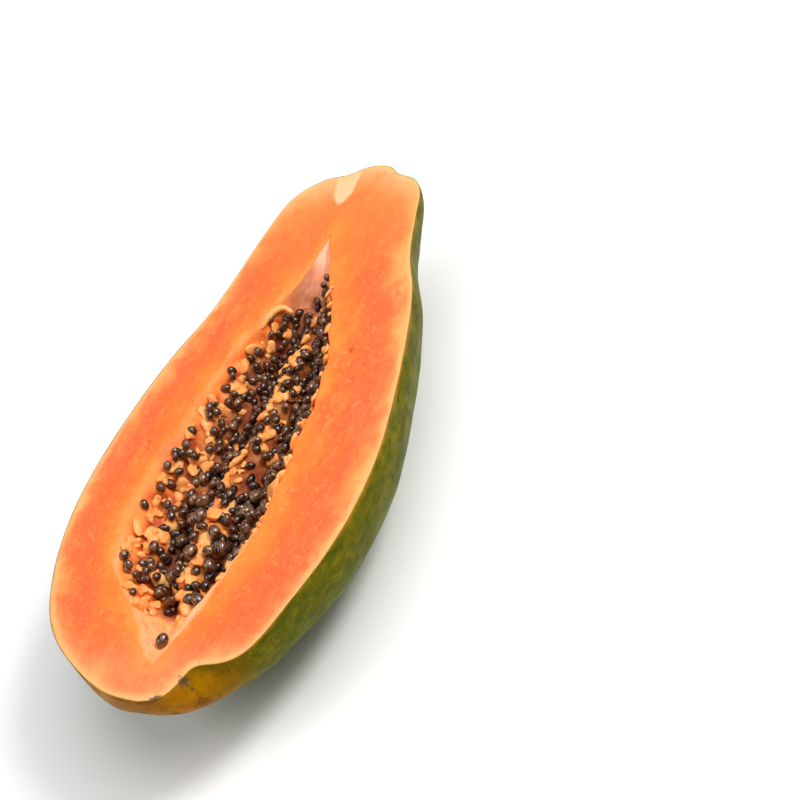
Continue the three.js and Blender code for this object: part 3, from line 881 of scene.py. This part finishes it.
def pulp_material():
    paint = Painter("seed_pulp")
    colour = paint.ramp(paint.noise(6, 4, 0.6), [
        (0.3, srgb(248, 138, 64)), (0.5, srgb(253, 162, 86)), (0.7, srgb(255, 186, 114)),
    ])
    moist = paint.span(paint.noise(2.5, 3), 0.3, 0.7, 0.3, 0.5)
    return paint.finish(
        Base_Color=colour, Roughness=moist, Normal=paint.bump(paint.noise(0.9, 3, 0.6), 0.15),
        Subsurface_Weight=0.4, Subsurface_Radius=(1.0, 0.45, 0.15), Subsurface_Scale=2 * MM,
        Specular_IOR_Level=0.3, Coat_Weight=0.08, Coat_Roughness=0.12,
    )


def seed_material():
    paint = Painter("wrinkled_seed")
    net = paint.noise(1.2, 3, 0.6, distortion=1.2)
    # The dark ramp is painted shade for seeds low in the bed, the light one painted light for seeds that
    # show.
    dark = paint.ramp(net, [(0.35, srgb(10, 2, 0)), (0.55, srgb(34, 10, 2)), (0.72, srgb(78, 34, 13))])
    light = paint.ramp(net, [(0.35, srgb(46, 18, 6)), (0.55, srgb(96, 48, 21)), (0.72, srgb(152, 98, 58))])
    return paint.finish(
        Base_Color=paint.mix(paint.value("tone"), dark, light), Normal=paint.bump(net, 0.3),
        Roughness=paint.span(net, 0.35, 0.7, 0.26, 0.42), Specular_IOR_Level=0.2, Coat_Weight=0.8,
        Coat_Roughness=0.04, Coat_IOR=1.6,
    )


def jelly_material():
    paint = Painter("seed_jelly")
    cloud = paint.noise(1.9, 3, 0.55, distortion=0.6)
    # The dark ramp is painted shade for seeds low in the bed, the light one painted light for seeds that
    # show.
    dark = paint.ramp(cloud, [(0.4, srgb(18, 5, 1)), (0.62, srgb(70, 30, 11))])
    light = paint.ramp(cloud, [(0.4, srgb(54, 24, 9)), (0.62, srgb(154, 104, 66))])
    return paint.finish(
        Base_Color=paint.mix(paint.value("tone"), dark, light), Roughness=0.3, Normal=paint.bump(cloud, 0.1),
        Subsurface_Weight=0.35, Subsurface_Radius=(1.0, 0.6, 0.35), Subsurface_Scale=1.2 * MM,
        Specular_IOR_Level=0.2, Coat_Weight=1.0, Coat_Roughness=0.03, Coat_IOR=1.6,
    )


def hollow_along(y):
    """Share along the hollow whose middle lies at y."""
    shares = np.linspace(0, 1, ALONG_STEPS)
    right, left = hollow_edges(shares)
    return float(np.interp(y, (right[:, 1] + left[:, 1]) / 2, shares))


def bed_point(along_at, across, lift):
    """A place above the wall of the hollow, and the way out of the wall there."""
    step = 0.002
    places = hollow_points(
        np.array([along_at, along_at + step, along_at]), np.array([across, across, across - step]),
    )
    way = np.cross(places[1] - places[0], places[2] - places[0])
    way /= np.linalg.norm(way)
    return places[0] + way * lift, way


def beside(rule, across, y):
    """A rule that holds on one side of the hollow."""
    share, sides, ends = rule
    return share * smooth(*sides, across) * smooth(*ends, y)


def around(rule, across, y):
    """A rule that holds around one line along the hollow."""
    share, (middle, span), ends = rule
    return share * bell(across, middle, span) * smooth(*ends, y)


def seed_chance(across, y):
    """How likely a site holds a seed: surely in the gullies, less on the walls, hardly at the low right."""
    later = float(bell(across, *LAST_LATER)) - float(smooth(*LAST_EARLIER, across))
    last = BED_LAST + LAST_VARIES * later
    ends = smooth(BED_FIRST, BED_FIRST + SEEDS_FADE_IN, y) * smooth(last, last - SEEDS_FADE_OUT, y)
    ends = ends * (1 - beside(SEEDS_BARE_LOW_RIGHT, across, y))
    chance = SEEDS_ANYWHERE + SEEDS_MORE * smooth(*SEEDS_MORE_ENDS, y) + SEEDS_IN_GULLY * gully(across)
    chance = chance + beside(SEEDS_RIGHT_WALL, across, y) + around(SEEDS_LOW_MIDDLE, across, y)
    return float(ends) * min(1.0, float(chance))


def knob_chance(across, y):
    """How likely a site holds a knob of pulp: they stand on the two walls and on the ridge between."""
    line = max(share * float(bell(across, centre, span)) for centre, span, share in KNOB_LINES)
    line = max(line, float(around(KNOBS_LOW_RIGHT, across, y)))
    first = smooth(BED_FIRST - KNOBS_EARLIER, BED_FIRST + KNOBS_FADE_IN, y)
    return float(first * smooth(BED_LAST, BED_LAST - KNOBS_FADE_OUT, y)) * line


def seed_half_length(across, y, draws):
    large = LARGE_SHARE * float(bell(y, LARGE_AT, LARGE_SPAN)) * float(smooth(*LARGE_SIDES, across))
    if draws.rand() < large:
        middle = SEED_LARGE
    else:
        middle = SEED_SMALL * (1 - SEED_LESS * float(smooth(*SEED_LESS_ENDS, y)))
    return middle * draws.uniform(*SIZE_SPREAD)


def bed_sites(step, draws):
    """Sites in rows across the hollow, a step apart, each at a chance place in its cell."""
    for y in np.arange(BED_FIRST - BED_BEFORE, BED_LAST, step):
        along_at = hollow_along(y + draws.uniform(-ROW_WANDER, ROW_WANDER) * step)
        right, left = hollow_edges(np.array(along_at))
        count = int(np.linalg.norm(right - left) * BED_STRETCH / step)
        for site in range(count):
            in_cell = draws.uniform(CELL_MARGIN, 1 - CELL_MARGIN)
            across = (2 * (site + in_cell) / count - 1) * BED_REACH
            yield along_at, across, y


class Bed:
    """Places for knobs and seeds, none of them too close to another."""

    def __init__(self, draws):
        self.draws = draws
        self.taken = []
        self.knobs = []
        self.seeds = []

    def has_room(self, place, size, crowding):
        return all(np.linalg.norm(place - other) > crowding * (size + more) for other, more in self.taken)

    def add_knobs(self):
        for along_at, across, y in bed_sites(KNOB_ROWS, self.draws):
            size = KNOB_SMALL + (KNOB_LARGE - KNOB_SMALL) * self.draws.rand() ** KNOB_POWER
            size *= 1 - KNOB_LESS * float(smooth(*KNOB_LESS_ENDS, y))
            if self.draws.rand() > knob_chance(across, y):
                continue
            place, way = bed_point(along_at, across, KNOB_LIFT * size)
            if self.has_room(place, ROOM_OF_KNOB * size, ROOM_OF_KNOB):
                self.knobs.append((place, way, size))
                self.taken.append((place, ROOM_LEFT_BY_KNOB * size))

    def add_edge_knobs(self):
        """Knobs that stand on the right edge of the hollow, at uneven steps."""
        y = EDGE_KNOBS_FIRST
        while y < EDGE_KNOBS_LAST:
            size = EDGE_KNOB_SMALL + EDGE_KNOB_MORE * self.draws.rand() ** EDGE_KNOB_POWER
            right, _ = hollow_edges(np.array(hollow_along(y)))
            height = -EDGE_KNOB_SUNK * size - EDGE_KNOB_BELOW
            place = np.array((right[0] - EDGE_KNOB_INSET * size, right[1], height))
            self.knobs.append((place, EDGE_KNOB_WAY, size))
            self.taken.append((place, ROOM_OF_KNOB * size))
            y += self.draws.uniform(*EDGE_KNOBS_STEP)

    def add_seeds(self, least_lift, most_lift, share, crowding, left_share):
        """Seeds lifted off the wall by a share of their size, fewer of them in the left gully."""
        for along_at, across, y in bed_sites(SEED_ROWS, self.draws):
            size = seed_half_length(across, y, self.draws)
            lift = size * self.draws.uniform(least_lift, most_lift)
            left = float(bell(across, LEFT_GULLY, LEFT_GULLY_SPAN))
            chance = share * (1 - left + left_share * left) * seed_chance(across, y)
            if self.draws.rand() > chance:
                continue
            place, way = bed_point(along_at, across, lift)
            below_cut = place[2] + 0.5 * size < 0
            if below_cut and self.has_room(place, ROOM_OF_SEED * size, crowding):
                self.seeds.append((place, way, size, across, lift > size))
                self.taken.append((place, ROOM_OF_SEED * size))


def unit_ball(subdivisions):
    ball = bmesh.new()
    bmesh.ops.create_icosphere(ball, subdivisions=subdivisions, radius=1)
    points = np.array([vertex.co for vertex in ball.verts])
    faces = np.array([[vertex.index for vertex in face.verts] for face in ball.faces])
    ball.free()
    return points, faces


def seed_form(ball, offset):
    """A wrinkled egg, one unit from its middle to its ends."""
    wrinkle = 1 - np.abs(noise_at(ball, SEED_WRINKLES[1], offset)) * 2
    radius = 1 + SEED_WRINKLES[0] * wrinkle + lumps_of(SEED_LUMPS, ball, offset + 5)
    form = ball * radius[:, None] * SEED_SHAPE
    form[:, :2] *= (1 - SEED_TAPER * ball[:, 2:])
    return form


def jelly_form(ball, offset):
    """The smooth coat of jelly round a seed."""
    radius = 1 + lumps_of(COAT_LUMPS, ball, offset) + lumps_of(COAT_RIPPLES, ball, offset + 2)
    return ball * radius[:, None] * COAT_SHAPE


def knob_form(ball, offset, draws):
    """A crumb of pulp: a rounded lump between uneven flat sides, with shallow dents."""
    sides = draws.normal(size=(CRUMB_SIDES, 3))
    sides /= np.linalg.norm(sides, axis=1)[:, None]
    nearness = np.maximum(0, ball @ sides.T) / draws.uniform(CRUMB_NEAREST, 1.0, CRUMB_SIDES)
    flat_sided = np.sum(nearness ** CRUMB_SHARPNESS, axis=1) + CRUMB_ROUND ** CRUMB_SHARPNESS
    flat_sided = flat_sided ** (-1 / CRUMB_SHARPNESS)
    dents = lumps_of(CRUMB_DENTS, ball, offset) + lumps_of(CRUMB_PITS, ball, offset + 9)
    return ball * (flat_sided + dents)[:, None]


def turn_about(way, draws, tilt):
    """A turn whose third axis lies near the given way, tilted by up to tilt radians, with a chance spin."""
    leaning = Vector(way) + Vector(draws.uniform(-1, 1, 3)) * math.tan(tilt)
    spin = Quaternion(leaning.normalized(), draws.uniform(0, 2 * math.pi))
    return np.array((spin @ leaning.to_track_quat("Z", "Y")).to_matrix())


def lying_turn(way, draws):
    """A turn that lays the long third axis of a seed roughly along the wall."""
    aside = Vector(way).orthogonal()
    aside.rotate(Quaternion(Vector(way), draws.uniform(0, 2 * math.pi)))
    return turn_about(aside, draws, SEED_LEAN)


class Lumps:
    """Collects closed lumps into one mesh."""

    def __init__(self, faces):
        self.lump_faces = faces
        self.points = []
        self.materials = []
        self.tones = []

    def add(self, form, place, turn_by, scale, material=0, tone=0.0):
        self.points.append((form * scale) @ turn_by.T + place)
        self.materials.append(material)
        self.tones.append(tone)

    def piece(self, name, materials):
        count = len(self.points[0])
        offsets = (np.arange(len(self.points)) * count)[:, None, None]
        faces = (self.lump_faces[None] + offsets).reshape(-1, 3)
        mesh = bpy.data.meshes.new(name)
        mesh.from_pydata(to_frame(np.concatenate(self.points)).tolist(), [], faces.tolist())
        set_point_values(mesh, {"tone": np.repeat(self.tones, count)})
        built = new_piece(name, mesh, materials)
        face_materials = np.repeat(self.materials, len(self.lump_faces))
        mesh.polygons.foreach_set("material_index", face_materials.astype(np.int32))
        return built


def fuse_crumbs(piece):
    """Melts crumbs that touch each other into one soft lump."""
    fuse = piece.modifiers.new("fuse crumbs", "REMESH")
    fuse.mode = "VOXEL"
    fuse.voxel_size = FUSE_STEP * MM
    fuse.use_smooth_shade = True
    rounding = piece.modifiers.new("round crumbs", "SMOOTH")
    rounding.iterations = FUSE_ROUNDS


def make_knobs(knobs, draws, material):
    ball, faces = unit_ball(3)
    forms = [knob_form(ball, 11.3 * number, draws) for number in range(VARIANTS)]
    lumps = Lumps(faces)
    for place, way, size in knobs:
        lumps.add(
            forms[draws.randint(VARIANTS)], place, turn_about(way, draws, KNOB_LEAN),
            size * np.array([draws.uniform(*spread) for spread in KNOB_FORM]),
        )
        for _ in range(draws.randint(0, MOST_CRUMBS + 1)):
            aside = draws.uniform(-CRUMB_AWAY, CRUMB_AWAY, 3) * size
            aside -= way * aside.dot(way) * CRUMB_FLATTENED
            scale = size * draws.uniform(*CRUMB_SIZE) * draws.uniform(*CRUMB_UNEVEN, 3)
            form = forms[draws.randint(VARIANTS)]
            lumps.add(form, place + aside, turn_about(way, draws, CRUMB_LEAN), scale)
    for share in np.linspace(0, 1, STRAP_LUMPS):
        bulge = (1 - STRAP_THIN_ENDS) * math.sin(math.pi * share)
        half_width = STRAP_HALF_WIDTH * (STRAP_THIN_ENDS + bulge)
        lumps.add(ball, spline(STRAP, share), np.eye(3), half_width)
    piece = lumps.piece("pulp_knobs", [material])
    fuse_crumbs(piece)
    return piece


def make_seeds(name, seeds, draws, materials, lengthwise=None):
    ball, faces = unit_ball(3)
    forms = [seed_form(ball, 7.7 * number) for number in range(VARIANTS)]
    coats = [jelly_form(ball, 3.9 * number) for number in range(VARIANTS)]
    lumps = Lumps(faces)
    for place, way, size, across, on_top in seeds:
        turn_by = turn_about(lengthwise, draws, 0) if lengthwise else lying_turn(way, draws)
        coated = size > (SEED_SMALL + SEED_LARGE) / 2 or draws.rand() < COATED_CHANCE
        # Painted light and shade: seeds on top or on the walls get light tones, those low down dark ones,
        # darkest towards the blossom end.
        if on_top or abs(across) > LIT_SHOWN_SIDES:
            tone = LIT_SHOWN_TONE + LIT_SHOWN_TONE_MORE * draws.rand()
        else:
            most = SHADED_LOW_TONE + SHADED_LOW_TONE_MORE * float(smooth(*SHADED_LOW_TONE_ENDS, place[1]))
            tone = most * draws.rand()
        shapes = coats if coated else forms
        lumps.add(shapes[draws.randint(VARIANTS)], place, turn_by, size, int(coated), tone)
    return lumps.piece(name, materials)


draws = np.random.RandomState(SEED)
bed = Bed(draws)
bed.add_knobs()
bed.add_edge_knobs()
# First the seeds on the wall, then those that lie on them.
bed.add_seeds(least_lift=0.35, most_lift=0.6, share=1.0, crowding=0.64, left_share=1.0)
bed.add_seeds(least_lift=1.2, most_lift=1.9, share=0.65, crowding=0.84, left_share=0.4)
seed_finish = [seed_material(), jelly_material()]
half = make_half([skin_material(), flesh_material()])
knobs = make_knobs(bed.knobs, draws, pulp_material())
left_plan = [seed for seed in bed.seeds if seed[3] < PULP_RIDGE_AT]
right_plan = [seed for seed in bed.seeds if seed[3] >= PULP_RIDGE_AT]
seeds_left = make_seeds("seeds_left_fine", left_plan, draws, seed_finish)
seeds_right = make_seeds("seeds_right_fine", right_plan, draws, seed_finish)
stray_place, stray_way = bed_point(STRAY_ALONG, STRAY_ACROSS, STRAY_LIFT)
stray_plan = [(stray_place, stray_way, SEED_LARGE, STRAY_ACROSS, True)]
stray = make_seeds("seed_stray_fine", stray_plan, draws, seed_finish, STRAY_LENGTHWISE)

for piece, node, slot in (
    (half, "fruit_half", "flesh"), (knobs, "fruit_half", "flesh"), (seeds_left, "seeds_left", "seed"),
    (seeds_right, "seeds_right", "seed"), (stray, "seed_stray", "seed"),
):
    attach(piece, "root")
    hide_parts(node)


def make_camera():
    data = bpy.data.cameras.new("camera")
    data.lens = LENS
    data.sensor_width = SENSOR_WIDTH
    camera = new_object("camera", data)
    right = VIEW_UP.cross(VIEW_BACK).normalized()
    back = (VIEW_BACK - right * PAN_RIGHT - VIEW_UP * PAN_UP).normalized()
    right = (right - back * right.dot(back)).normalized()
    up = back.cross(right)
    turn_to = Matrix((right, up, back)).transposed().to_4x4()
    place = Vector(to_frame((0, 0, 0))) + VIEW_BACK * VIEW_DISTANCE
    camera.matrix_world = Matrix.Translation(place) @ turn_to
    bpy.context.scene.camera = camera


def make_floor():
    mesh = bpy.data.meshes.new("floor")
    corners = [(x * FLOOR_REACH, y * FLOOR_REACH, 0) for x, y in ((-1, -1), (1, -1), (1, 1), (-1, 1))]
    mesh.from_pydata(corners, [], [(0, 1, 2, 3)])
    paint = Painter("pale_floor")
    tone = paint.ramp(paint.noise(400, 2), [(0.3, (0.93, 0.93, 0.925, 1)), (0.7, (0.95, 0.95, 0.945, 1))])
    new_piece("floor", mesh, [paint.finish(Base_Color=tone, Roughness=0.7)])


def area_light(name, place, size, power):
    """A round soft light that faces the fruit."""
    data = bpy.data.lights.new(name, "AREA")
    data.shape = "DISK"
    data.size = size
    data.energy = power
    light = new_object(name, data)
    light.location = place
    light.rotation_euler = (-Vector(place)).to_track_quat("-Z", "Y").to_euler()


def make_light():
    world = bpy.data.worlds.new("studio")
    world.use_nodes = True
    background = world.node_tree.nodes["Background"]
    background.inputs["Color"].default_value = (1, 1, 1, 1)
    background.inputs["Strength"].default_value = WORLD_STRENGTH
    bpy.context.scene.world = world
    for name, place, size, power in LIGHTS:
        area_light(name, place, size, power)
    bpy.context.scene.view_settings.view_transform = "Standard"


make_camera()
make_floor()
make_light()
